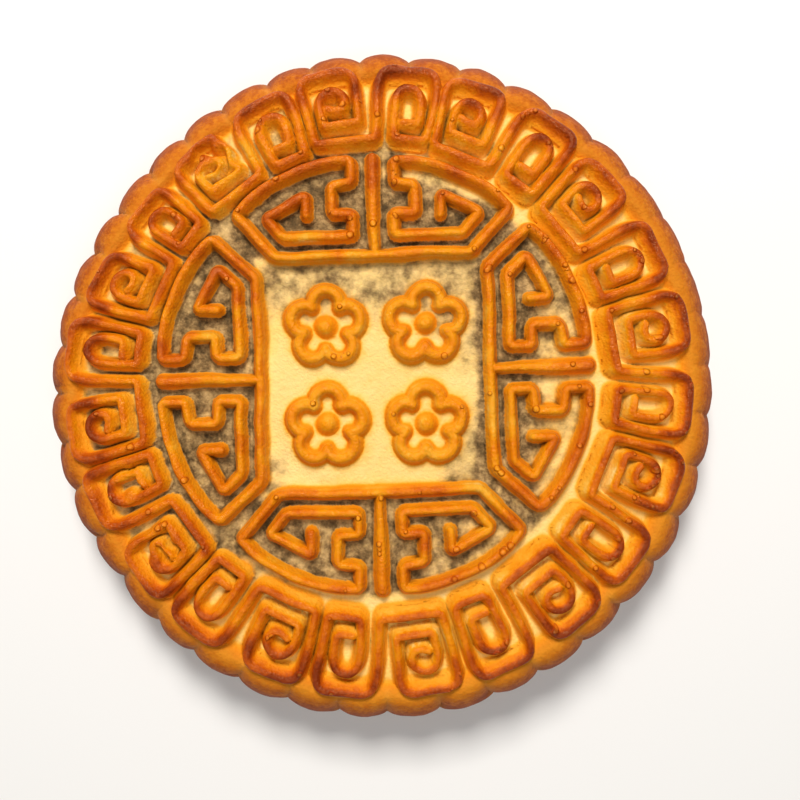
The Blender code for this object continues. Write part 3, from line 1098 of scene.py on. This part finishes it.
def with_filling(nodes, crust):
    """The crust with the filling seen through its floor: patches, crumbs and grains."""
    filling = nodes.attribute("filling")
    patches = nodes.noise(6.5, 3.0, 0.6, 1.0)
    crumbs = nodes.noise(2.8, 3.0, 0.65, 2.0)
    grains = nodes.noise(0.7, 3.0, 0.75, 4.0)
    tone = nodes.math("MULTIPLY_ADD", patches, 1.15, -0.17)
    darker = nodes.math("MULTIPLY_ADD", filling, -0.38, 0.34)
    tone = nodes.add(tone, darker, nodes.swing(crumbs, 0.8), nodes.swing(grains, 0.5))
    cover = nodes.add(filling, nodes.swing(patches, -0.9), nodes.swing(grains, 0.4))
    cover = nodes.math("MULTIPLY", nodes.steps(cover, 0.25, 0.85), nodes.steps(filling, 0.02, 0.2))
    return nodes.mix(cover, crust, nodes.ramp(tone, FILLING))


def lobe_colour(nodes, cloud):
    """Lobes of the wall: matte tan, browner at the edge, lighter in the grooves."""
    down = nodes.attribute("down")
    speckle = nodes.add(nodes.swing(nodes.noise(1.3, 3.0, 0.7, 8.0), 0.5), nodes.swing(cloud, 0.4))
    speckle = nodes.math("MULTIPLY", speckle, nodes.steps(down, 0.04, 0.2, 0.3, 1.0))
    lobes = nodes.ramp(nodes.add(down, speckle), LOBE)
    pale = nodes.math("MULTIPLY", nodes.steps(nodes.attribute("groove"), 0.25, 0.8), 0.35)
    return nodes.mix(pale, lobes, linear(*GROOVE))


def with_blisters(nodes, colour, offset):
    """The colour with the red-brown rim and the lighter cap of each blister."""
    rim = nodes.math("ABSOLUTE", nodes.math("SUBTRACT", offset, 0.95))
    rim = nodes.math("MULTIPLY", nodes.steps(rim, 0.02, 0.25, 1.0, 0.0), 0.55)
    colour = nodes.mix(rim, colour, linear(*BLISTER_RIM))
    return nodes.mix(nodes.steps(offset, 0.3, 0.9, 0.12, 0.0), colour, linear(*BLISTER_CAP))


def add_gloss(nodes, grain, wall):
    """Glazed crests, drier floor and wall."""
    roughness = nodes.steps(nodes.attribute("rise"), 0.3, 0.9, DRY_ROUGHNESS, GLAZE_ROUGHNESS)
    roughness = nodes.add(roughness, nodes.swing(grain, 0.24))
    roughness = nodes.math("MULTIPLY_ADD", wall, 0.12, roughness, clamp=True)
    nodes.join(roughness, nodes.shader.inputs["Roughness"])
    nodes.shader.inputs["Specular IOR Level"].default_value = GLAZE_LEVEL
    nodes.shader.inputs["Specular Tint"].default_value = GLAZE_TINT


def add_bumps(nodes, offset):
    """Fine grain, coarser unevenness, and the blisters' domes."""
    fine = nodes.bump(nodes.noise(0.9, 3.0, 0.65, 6.0), 0.5, 1.0)
    coarse = nodes.bump(nodes.noise(2.6, 2.0, 0.5, 7.0), 1.0, 0.35, fine)
    blister = nodes.bump(nodes.steps(offset, 0.6, 1.1, 1.0, 0.0), 0.35, 1.0, coarse)
    nodes.join(blister, nodes.shader.inputs["Normal"])


def crust_material():
    """Baked crust: cream where thin, golden to red-brown on the crests, mottled by the filling."""
    material = bpy.data.materials.new("baked_dough")
    nodes = Nodes(material)
    grain = nodes.noise(1.1, 4.0, 0.6, 0.0)
    cloud = nodes.noise(4.0, 3.0, 0.55, 3.0)
    offset = nodes.length(nodes.attribute("blister", "Vector"))
    wall = nodes.attribute("wall")
    colour = with_filling(nodes, crust_colour(nodes, grain, cloud))
    # Painted shade: the narrow gaps between the ridges are darkened towards a dark brown.
    gap_shade = nodes.math("MULTIPLY", nodes.attribute("gap_shade"), 0.94)
    colour = nodes.mix(gap_shade, colour, linear(*GAP_SHADE_COLOUR))
    colour = nodes.mix(wall, colour, lobe_colour(nodes, cloud))
    nodes.join(with_blisters(nodes, colour, offset), nodes.shader.inputs["Base Color"])
    add_gloss(nodes, grain, wall)
    add_bumps(nodes, offset)
    return material


# ---------------------------------------------------------------- stage: metres, watts, camera in millimetres
FLOOR_HALF = 3.0
FLOOR_GAP = 0.0004
FLOOR_COLOUR = (0.86, 0.85, 0.83, 1.0)
FLOOR_ROUGHNESS = 0.8
LIGHTS = [
    # name, place, size, watts, colour
    ("key", (-0.10, 0.85, 1.10), 0.42, 21.0, (1.0, 0.97, 0.93)),
    ("fill", (0.15, -0.45, 1.25), 0.7, 5.2, (1.0, 1.0, 1.0)),
]
SKY_COLOUR = (1.0, 0.99, 0.97, 1.0)
SKY_STRENGTH = 0.14
CAMERA_PLACE = (6.2, -4.9, 350.0)
CAMERA_LENS = 41.5
CAMERA_SENSOR = 36.0
CAMERA_NEAR = 0.01


def floor_material():
    material = bpy.data.materials.new("pale_floor")
    nodes = Nodes(material)
    nodes.shader.inputs["Base Color"].default_value = FLOOR_COLOUR
    nodes.shader.inputs["Roughness"].default_value = FLOOR_ROUGHNESS
    return material


def make_floor():
    mesh = bpy.data.meshes.new("floor")
    corners = [(x * FLOOR_HALF, y * FLOOR_HALF, 0.0) for x, y in ((-1, -1), (1, -1), (1, 1), (-1, 1))]
    mesh.from_pydata(corners, [], [(0, 1, 2, 3)])
    floor = bpy.data.objects.new("floor", mesh)
    floor.location.z = -FLOOR_GAP
    floor.data.materials.append(floor_material())
    bpy.context.scene.collection.objects.link(floor)
    return floor


def make_light(name, place, size, watts, colour):
    """A square soft light turned towards the cake."""
    data = bpy.data.lights.new(name, "AREA")
    data.size = size
    data.energy = watts
    data.color = colour
    light = bpy.data.objects.new(name, data)
    light.location = place
    light.rotation_euler = (-light.location).to_track_quat("-Z", "Y").to_euler()
    bpy.context.scene.collection.objects.link(light)


def make_sky():
    world = bpy.context.scene.world or bpy.data.worlds.new("studio")
    bpy.context.scene.world = world
    world.use_nodes = True
    background = world.node_tree.nodes["Background"]
    background.inputs["Color"].default_value = SKY_COLOUR
    background.inputs["Strength"].default_value = SKY_STRENGTH


def make_camera():
    """Straight down from a little over the cake's width away, a touch right of its middle."""
    data = bpy.data.cameras.new("camera")
    data.lens = CAMERA_LENS
    data.sensor_width = CAMERA_SENSOR
    data.clip_start = CAMERA_NEAR
    camera = bpy.data.objects.new("camera", data)
    camera.location = [value * MM for value in CAMERA_PLACE]
    bpy.context.scene.collection.objects.link(camera)
    bpy.context.scene.camera = camera


make_camera()
cake = make_cake()
cake.data.materials.append(crust_material())
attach(cake, "root")
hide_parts(NODE)
make_floor()
for light in LIGHTS:
    make_light(*light)
make_sky()
bpy.context.scene.view_settings.view_transform = "Standard"
